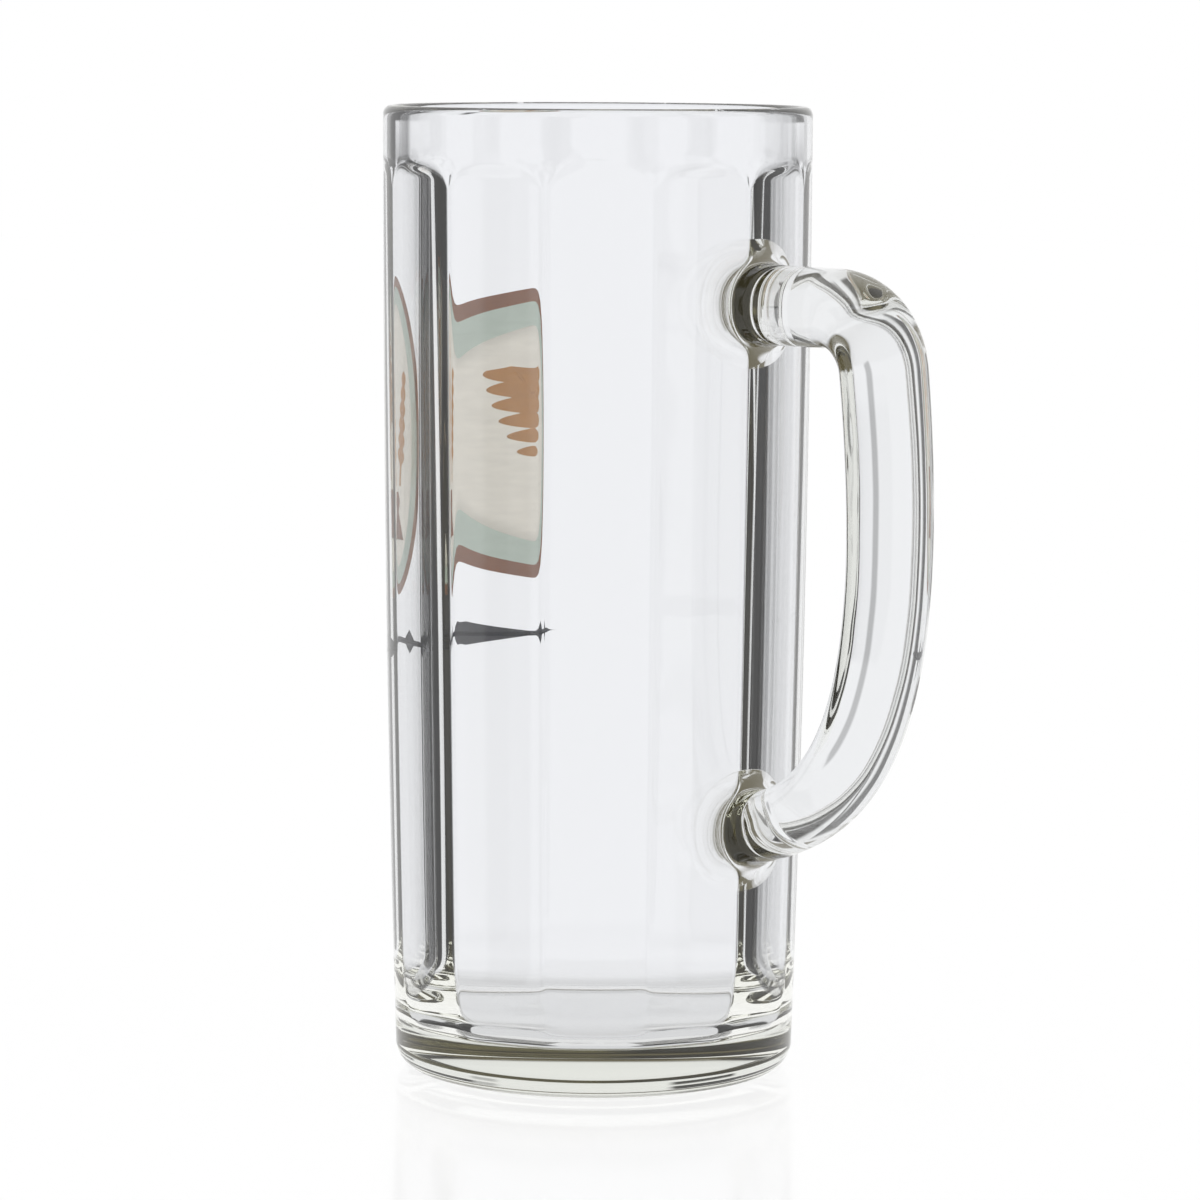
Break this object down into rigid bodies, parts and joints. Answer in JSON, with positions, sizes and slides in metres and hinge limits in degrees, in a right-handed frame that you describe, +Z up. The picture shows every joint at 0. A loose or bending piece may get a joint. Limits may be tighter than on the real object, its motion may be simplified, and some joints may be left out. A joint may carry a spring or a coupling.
{
  "type": "beer mug",
  "caption": "Tall clear glass beer mug, round outside with a gently bowed taper, with flat arched panels inside, a thick base, a fused D-shaped handle and a small printed medallion.",
  "frame": {"origin": "on the mug's axis, in the plane that it stands on", "axes": "+Z up along the mug's axis, +X towards the handle, +Y to complete a right-handed frame"},
  "size_m": [0.121, 0.08, 0.181],
  "materials": {
    "clear_glass": "fire-polished clear soda-lime glass, faint olive tint where it is thick",
    "copper_ink": "fired enamel print, satin",
    "grey_green_ink": "fired enamel print, satin",
    "cream_ink": "fired enamel print, satin",
    "gold_ink": "fired enamel print, satin",
    "navy_ink": "fired enamel print, satin"
  },
  "bodies": {
    "root": {"glass_body": "clear_glass", "handle": "clear_glass", "print_border": "copper_ink", "print_band": "grey_green_ink", "print_field": "cream_ink", "print_ear_1": "gold_ink", "print_ear_2": "gold_ink", "print_ear_3": "gold_ink", "print_sheaf_foot": "copper_ink", "print_rule": "navy_ink"}
  },
  "joints": []
}
